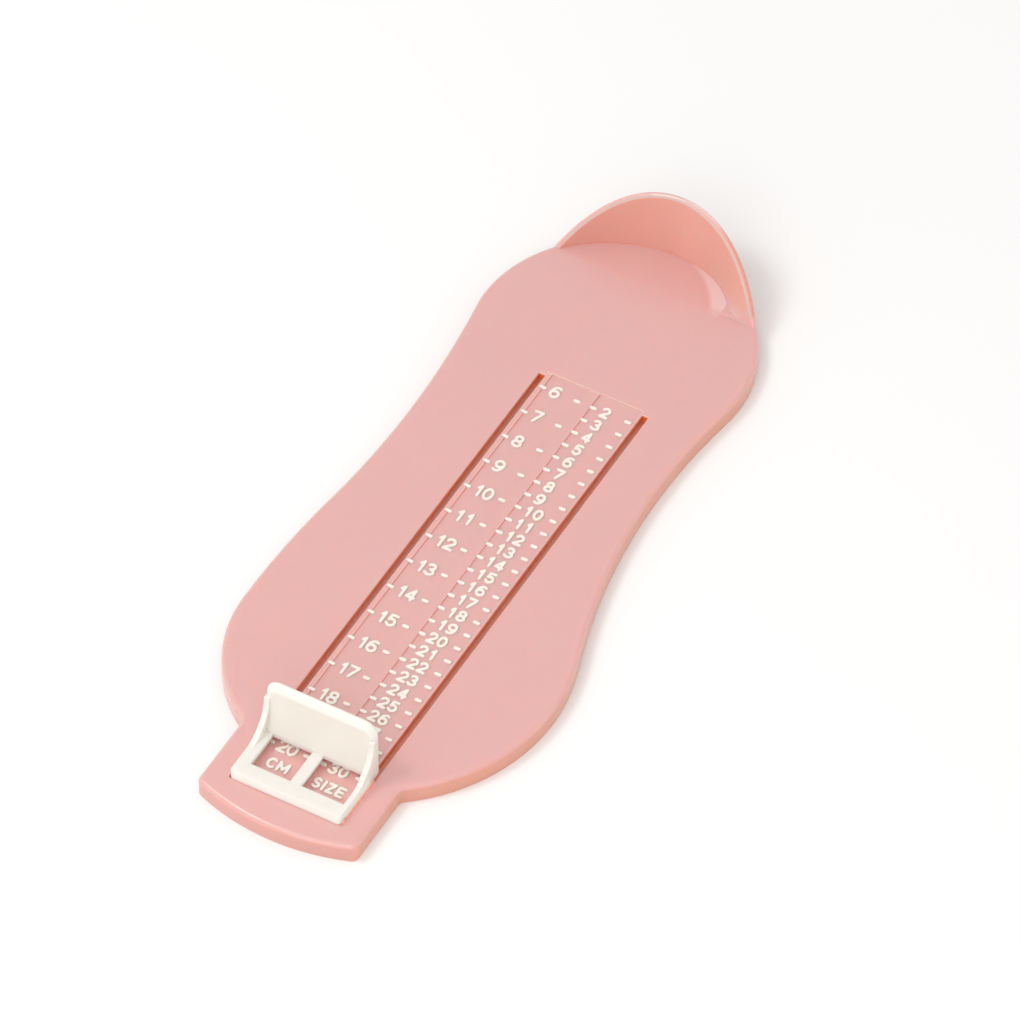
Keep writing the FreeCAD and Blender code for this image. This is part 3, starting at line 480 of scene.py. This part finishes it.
class Relief:
    """Raised shapes of one column, gathered into one piece that moves with the board."""

    def __init__(self, name):
        self.name = name
        self.mesh = bmesh.new()

    def add_glyph(self, char, x, y, height, width):
        """A raised character whose box is centred on (x, y)."""
        corners, faces = glyph_mesh(char, width, height)
        middle = (RELIEF_TOP + RELIEF_FLOOR) / 2
        made = [self.mesh.verts.new(at(x + cx, y + cy, middle + cz)) for cx, cy, cz in corners]
        for face in faces:
            self.mesh.faces.new([made[k] for k in face])

    def add_tick(self, x, y):
        """A raised dash with round ends, lying along X."""
        half, radius = TICK_LENGTH / 2, TICK_WIDTH / 2
        ring = []
        for end in (1, -1):
            for i in range(TICK_STEPS + 1):
                angle = -math.pi / 2 + math.pi * i / TICK_STEPS
                ring.append((end * (half - radius + radius * math.cos(angle)),
                             end * radius * math.sin(angle)))
        layers = []
        for inset, z in TICK_LAYERS:
            scale_x, scale_y = (half - inset) / half, (radius - inset) / radius
            layers.append([self.mesh.verts.new(at(x + u * scale_x, y + v * scale_y, z))
                           for u, v in ring])
        count = len(ring)
        for low, high in zip(layers, layers[1:]):
            for i in range(count):
                j = (i + 1) % count
                self.mesh.faces.new((low[i], low[j], high[j], high[i]))
        self.mesh.faces.new(layers[-1])

    def finish(self):
        mesh = bpy.data.meshes.new(self.name)
        bmesh.ops.recalc_face_normals(self.mesh, faces=self.mesh.faces)
        self.mesh.to_mesh(mesh)
        self.mesh.free()
        mesh.materials.append(print_white)
        piece = bpy.data.objects.new(self.name, mesh)
        bpy.context.scene.collection.objects.link(piece)
        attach(piece, "board")


SLIM = {"1": 0.56}       # the 1 is slim, and the other numerals fill their cell


def add_number(relief, number, cells, single_x, y, height, width):
    """A number of one or two numerals, each centred in its own cell."""
    word = str(number)
    places = (single_x,) if len(word) == 1 else cells
    for char, x in zip(word, places):
        relief.add_glyph(char, x, y, height, width * SLIM.get(char, 1.0))


def add_scale(name, numbers, place, ticks, **cells):
    """One scale's two pieces: its numbers and its ticks, each number at its own place."""
    figures, dashes = Relief(name + "_numbers"), Relief(name + "_ticks")
    for number in numbers:
        y = place(number)
        add_number(figures, number, y=y, **cells)
        for x in ticks:
            dashes.add_tick(x, y)
    figures.finish()
    dashes.finish()


add_scale("cm", range(6, 21), lambda number: -10.0 * number, CM_TICKS,
          cells=(-9.60, -6.80), single_x=-9.20, height=4.3, width=3.0)
add_scale("size", range(2, 31), lambda number: -5.0 * (number + 10), SIZE_TICKS,
          cells=(5.25, 8.10), single_x=5.85, height=3.85, width=2.7)

WORD_Y, WORD_HEIGHT, WORD_GAP = -206.2, 3.6, 0.32
WORD_WIDTHS = {"I": 0.40, "M": 1.2}      # the others are 1


def add_word(relief, word, x0, x1):
    """A short word whose letters share the run from x0 to x1."""
    total = sum(WORD_WIDTHS.get(char, 1.0) for char in word)
    unit = (x1 - x0 - WORD_GAP * (len(word) - 1)) / total
    x = x0
    for char in word:
        width = unit * WORD_WIDTHS.get(char, 1.0)
        relief.add_glyph(char, x + width / 2, WORD_Y, WORD_HEIGHT, width)
        x += width + WORD_GAP


unit_words = Relief("unit_words")
add_word(unit_words, "CM", -10.7, -4.3)
add_word(unit_words, "SIZE", 2.7, 12.0)
unit_words.finish()


# ---------------------------------------------------------------- floor and light

FLOOR_HALF = 3.0         # half the floor's side, in metres
FLOOR_Z = -0.05 * MM     # a hair below the board's foot
FLOOR_TONES = rgb(0.905, 0.905, 0.905), rgb(0.925, 0.925, 0.925)

WORLD_STRENGTH, WORLD_COLOR = 0.775, rgb(1.0, 0.992, 0.98)
WHITE = 1.0, 0.99, 0.975
WARM = 1.0, 0.85, 0.72

# name, its direction as (right, away, up) in the photograph, distance, size, energy, colour
LIGHTS = (
    ("key", (-0.66, -0.10, 1.00), 1.2, 0.36, 3.5, WHITE),
    ("fill", (-0.36, -0.84, 0.78), 1.4, 0.90, 5.2, WHITE),
    ("side", (1.00, -0.15, 0.25), 1.3, 0.60, 0.8, WARM),
)


def make_floor():
    """A wide pale table under the device."""
    mesh = bpy.data.meshes.new("floor")
    s = FLOOR_HALF
    mesh.from_pydata([(-s, -s, 0), (s, -s, 0), (s, s, 0), (-s, s, 0)], [], [(0, 1, 2, 3)])
    floor = bpy.data.objects.new("floor", mesh)
    floor.location.z = FLOOR_Z
    bpy.context.scene.collection.objects.link(floor)
    n = Nodes("floor_white")
    coords = n.add("ShaderNodeTexCoord").outputs["Object"]
    noise = n.add("ShaderNodeTexNoise", Vector=coords, Scale=6.0, Detail=2.0)
    tone = n.mix(noise.outputs["Fac"], *FLOOR_TONES)
    shader = n.add("ShaderNodeBsdfDiffuse", Color=tone)
    n.add("ShaderNodeOutputMaterial", Surface=shader.outputs["BSDF"])
    mesh.materials.append(n.material)


def make_world():
    """White to the camera, and a soft even light on everything else."""
    world = bpy.data.worlds.new("studio")
    world.use_nodes = True
    tree = world.node_tree
    tree.nodes.clear()
    path = tree.nodes.new("ShaderNodeLightPath")
    soft = tree.nodes.new("ShaderNodeBackground")
    soft.inputs["Color"].default_value = WORLD_COLOR
    soft.inputs["Strength"].default_value = WORLD_STRENGTH
    seen = tree.nodes.new("ShaderNodeBackground")
    seen.inputs["Strength"].default_value = 1.0
    mix = tree.nodes.new("ShaderNodeMixShader")
    out = tree.nodes.new("ShaderNodeOutputWorld")
    tree.links.new(path.outputs["Is Camera Ray"], mix.inputs["Fac"])
    tree.links.new(soft.outputs["Background"], mix.inputs[1])
    tree.links.new(seen.outputs["Background"], mix.inputs[2])
    tree.links.new(mix.outputs["Shader"], out.inputs["Surface"])
    bpy.context.scene.world = world


def add_light(name, toward, distance, size, energy, color):
    """A square soft light in the direction toward, aimed at the device."""
    data = bpy.data.lights.new(name, "AREA")
    data.size = size
    data.energy = energy
    data.color = color
    light = bpy.data.objects.new(name, data)
    bpy.context.scene.collection.objects.link(light)
    direction = Vector(toward).normalized()
    light.location = TARGET + direction * distance
    light.rotation_euler = (-direction).to_track_quat("-Z", "Y").to_euler()


image_right = Vector((math.cos(AZIMUTH), math.sin(AZIMUTH), 0.0))
image_away = Vector((-math.sin(AZIMUTH), math.cos(AZIMUTH), 0.0))
up = Vector((0.0, 0.0, 1.0))

make_floor()
make_world()
for name, (right, away, high), *rest in LIGHTS:
    add_light(name, right * image_right + away * image_away + high * up, *rest)

bpy.context.scene.view_settings.view_transform = "Standard"
